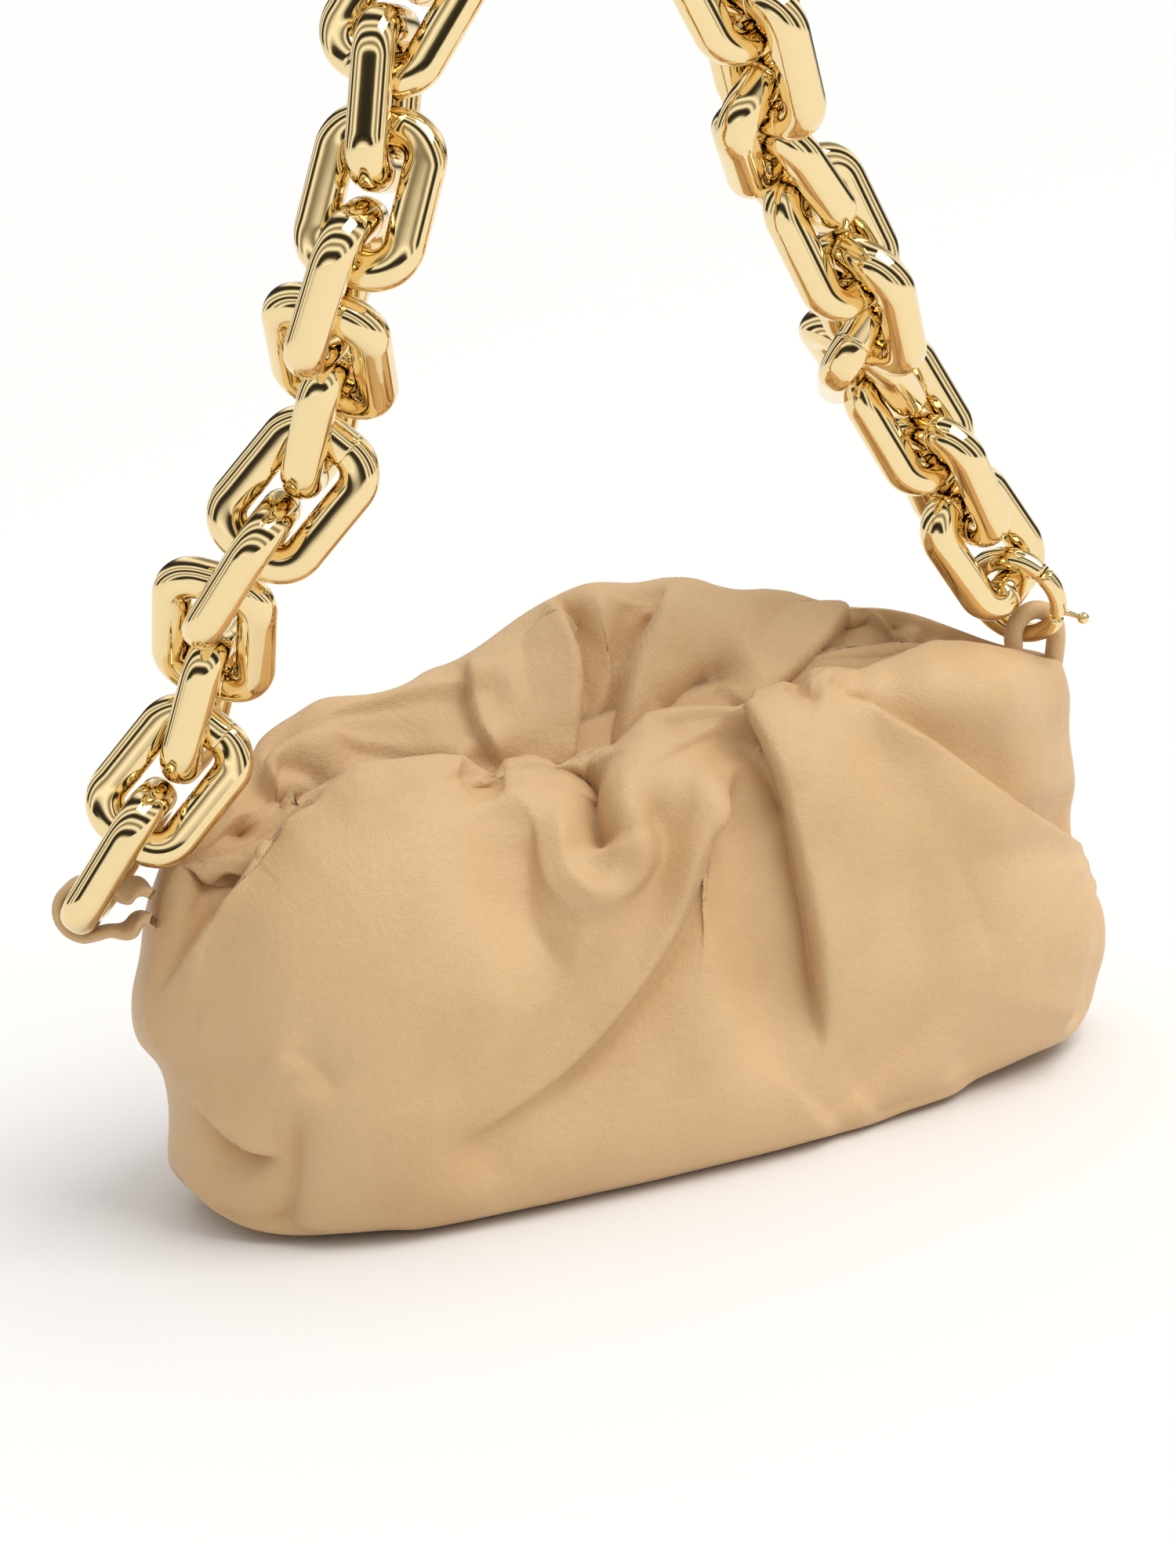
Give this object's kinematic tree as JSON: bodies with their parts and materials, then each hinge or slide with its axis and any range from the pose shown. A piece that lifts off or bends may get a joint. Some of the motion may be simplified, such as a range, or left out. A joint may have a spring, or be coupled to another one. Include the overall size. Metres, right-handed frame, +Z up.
{
  "type": "gathered pouch bag with a chain strap",
  "caption": "Soft gathered leather pouch bag with a spreading mouth and a strap of heavy rounded-rectangle metal links, closed by a ring clasp",
  "frame": {"origin": "Centre of the flat underside of the front half, on the surface the pouch rests on", "axes": "X along the mouth towards the clasp end, Y towards the back, Z up"},
  "size_m": [0.346, 0.1737, 0.4039],
  "materials": {
    "tan_leather": "soft fine-grained leather, satin",
    "suede_lining": "matt suede lining",
    "polished_gold": "mirror polished, gold toned",
    "frame_steel": "plain spring steel"
  },
  "bodies": {
    "bag": {"frame_back": "frame_steel", "hinge_pin_left": "frame_steel", "hinge_pin_right": "frame_steel", "leather_back": "tan_leather", "leather_front": "tan_leather", "left_loop": "tan_leather", "lining_back": "suede_lining", "lining_front": "suede_lining", "magnet_back_left": "frame_steel", "magnet_back_right": "frame_steel", "right_loop": "tan_leather"},
    "mouth": {"frame_front": "frame_steel", "magnet_front_left": "frame_steel", "magnet_front_right": "frame_steel"},
    "link_01": {"link_01": "polished_gold"},
    "link_02": {"link_02": "polished_gold"},
    "link_03": {"link_03": "polished_gold"},
    "link_04": {"link_04": "polished_gold"},
    "link_05": {"link_05": "polished_gold"},
    "link_06": {"link_06": "polished_gold"},
    "link_07": {"link_07": "polished_gold"},
    "link_08": {"link_08": "polished_gold"},
    "link_09": {"link_09": "polished_gold"},
    "link_10": {"link_10": "polished_gold"},
    "link_11": {"link_11": "polished_gold"},
    "link_12": {"link_12": "polished_gold"},
    "link_13": {"link_13": "polished_gold"},
    "link_14": {"link_14": "polished_gold"},
    "link_15": {"link_15": "polished_gold"},
    "link_16": {"link_16": "polished_gold"},
    "link_17": {"link_17": "polished_gold"},
    "link_18": {"link_18": "polished_gold"},
    "link_19": {"link_19": "polished_gold"},
    "link_20": {"link_20": "polished_gold"},
    "link_21": {"link_21": "polished_gold"},
    "link_22": {"link_22": "polished_gold"},
    "link_23": {"link_23": "polished_gold"},
    "link_24": {"link_24": "polished_gold"},
    "link_25": {"link_25": "polished_gold"},
    "link_26": {"link_26": "polished_gold"},
    "ring": {"gate_pin": "polished_gold", "ring_body": "polished_gold"},
    "gate": {"gate_lever": "polished_gold", "ring_gate": "polished_gold"}
  },
  "joints": [
    {"name": "link_01_turn", "type": "hinge", "parent": "bag", "child": "link_01", "pos_m": [-0.17266, 0.016, 0.104], "axis": [0.5576, 0.8292, -0.0399], "range_deg": [-25, 0], "deforming": ["left_loop"]},
    {"name": "link_02_turn", "type": "hinge", "parent": "link_01", "child": "link_02", "pos_m": [-0.15343, 0.00461, 0.13596], "axis": [0.5576, 0.8292, -0.0399], "range_deg": [-25, 0]},
    {"name": "link_03_turn", "type": "hinge", "parent": "link_02", "child": "link_03", "pos_m": [-0.13181, 0.00893, 0.15328], "axis": [-0.6127, 0.4435, 0.6542], "range_deg": [-14, 0]},
    {"name": "link_04_turn", "type": "hinge", "parent": "link_03", "child": "link_04", "pos_m": [-0.12784, 0.00541, 0.18063], "axis": [-0.5976, -0.8016, -0.0163], "range_deg": [0, 25]},
    {"name": "link_05_turn", "type": "hinge", "parent": "link_04", "child": "link_05", "pos_m": [-0.13394, -0.01273, 0.20191], "axis": [0.7755, -0.5727, -0.2657], "range_deg": [0, 25]},
    {"name": "link_06_turn", "type": "hinge", "parent": "link_05", "child": "link_06", "pos_m": [-0.11985, -0.02718, 0.22115], "axis": [0.6175, 0.7757, 0.1303], "range_deg": [-25, 0]},
    {"name": "link_07_turn", "type": "hinge", "parent": "link_06", "child": "link_07", "pos_m": [-0.10038, -0.02978, 0.24059], "axis": [0.6261, -0.3845, -0.6784], "range_deg": [0, 10]},
    {"name": "link_08_turn", "type": "hinge", "parent": "link_07", "child": "link_08", "pos_m": [-0.10091, -0.03962, 0.26671], "axis": [-0.6967, -0.6666, -0.2651], "range_deg": [0, 25]},
    {"name": "link_09_turn", "type": "hinge", "parent": "link_08", "child": "link_09", "pos_m": [-0.11222, -0.05919, 0.28377], "axis": [0.7174, -0.6448, -0.2639], "range_deg": [0, 25]},
    {"name": "link_10_turn", "type": "hinge", "parent": "link_09", "child": "link_10", "pos_m": [-0.10463, -0.06951, 0.30743], "axis": [0.6847, 0.7225, 0.0959], "range_deg": [-18, 0]},
    {"name": "link_11_turn", "type": "hinge", "parent": "link_10", "child": "link_11", "pos_m": [-0.09007, -0.06083, 0.33066], "axis": [0.7237, -0.6582, -0.2075], "range_deg": [0, 18]},
    {"name": "link_12_turn", "type": "hinge", "parent": "link_11", "child": "link_12", "pos_m": [-0.08569, -0.05716, 0.35687], "axis": [-0.6243, -0.7525, 0.2097], "range_deg": [0, 25]},
    {"name": "link_13_turn", "type": "hinge", "parent": "link_12", "child": "link_13", "pos_m": [-0.06944, -0.05874, 0.37816], "axis": [-0.5931, 0.6313, 0.4996], "range_deg": [-25, 0]},
    {"name": "link_14_turn", "type": "hinge", "parent": "link_13", "child": "link_14", "pos_m": [-0.04495, -0.06828, 0.38821], "axis": [-0.4737, -0.7754, 0.4175], "range_deg": [0, 25]},
    {"name": "link_15_turn", "type": "hinge", "parent": "link_14", "child": "link_15", "pos_m": [-0.01779, -0.07164, 0.3866], "axis": [-0.1055, -0.4206, -0.9011], "range_deg": [0, 25]},
    {"name": "link_16_turn", "type": "hinge", "parent": "link_15", "child": "link_16", "pos_m": [0.00419, -0.07795, 0.37038], "axis": [-0.0478, 0.9072, -0.4179], "range_deg": [-25, 0]},
    {"name": "link_17_turn", "type": "hinge", "parent": "link_16", "child": "link_17", "pos_m": [0.01544, -0.0737, 0.34527], "axis": [-0.8689, -0.2441, -0.4306], "range_deg": [-25, 25]},
    {"name": "link_18_turn", "type": "hinge", "parent": "link_17", "child": "link_18", "pos_m": [0.02332, -0.06646, 0.32079], "axis": [-0.3413, 0.9255, 0.164], "range_deg": [-18, 0]},
    {"name": "link_19_turn", "type": "hinge", "parent": "link_18", "child": "link_19", "pos_m": [0.03345, -0.04448, 0.30675], "axis": [0.6951, 0.1311, 0.7069], "range_deg": [-25, 25]},
    {"name": "link_20_turn", "type": "hinge", "parent": "link_19", "child": "link_20", "pos_m": [0.04923, -0.03506, 0.28737], "axis": [0.345, -0.9235, -0.1679], "range_deg": [0, 25]},
    {"name": "link_21_turn", "type": "hinge", "parent": "link_20", "child": "link_21", "pos_m": [0.06132, -0.03955, 0.26294], "axis": [0.8837, 0.2593, 0.3896], "range_deg": [-25, 25]},
    {"name": "link_22_turn", "type": "hinge", "parent": "link_21", "child": "link_22", "pos_m": [0.07269, -0.02683, 0.24219], "axis": [0.3923, -0.8643, -0.3147], "range_deg": [0, 10]},
    {"name": "link_23_turn", "type": "hinge", "parent": "link_22", "child": "link_23", "pos_m": [0.08053, -0.00017, 0.23536], "axis": [0.6384, 0.0095, 0.7697], "range_deg": [-14, 25]},
    {"name": "link_24_turn", "type": "hinge", "parent": "link_23", "child": "link_24", "pos_m": [0.09549, 0.01515, 0.21934], "axis": [0.4487, -0.8171, -0.3621], "range_deg": [0, 25]},
    {"name": "link_25_turn", "type": "hinge", "parent": "link_24", "child": "link_25", "pos_m": [0.11076, 0.00716, 0.19514], "axis": [0.852, 0.2687, 0.4494], "range_deg": [-25, 10]},
    {"name": "link_26_turn", "type": "hinge", "parent": "link_25", "child": "link_26", "pos_m": [0.12341, 0.01306, 0.17235], "axis": [-0.3294, 0.9422, 0.0611], "range_deg": [-25, 0]},
    {"name": "ring_turn", "type": "hinge", "parent": "link_26", "child": "ring", "pos_m": [0.13893, 0.014, 0.15042], "axis": [-0.7877, -0.2386, -0.5679], "range_deg": [-25, 22], "deforming": ["right_loop"]},
    {"name": "gate_swing", "type": "hinge", "parent": "ring", "child": "gate", "pos_m": [0.1437, 0.00313, 0.15527], "axis": [-0.7895, -0.503, -0.3515], "range_deg": [0, 25], "stiffness_Nm_per_rad": 0.02},
    {"name": "mouth_open", "type": "hinge", "parent": "bag", "child": "mouth", "pos_m": [0, 0.014, 0.09127], "axis": [1, 0, 0], "range_deg": [0, 35], "deforming": ["leather_front", "lining_front"]}
  ]
}
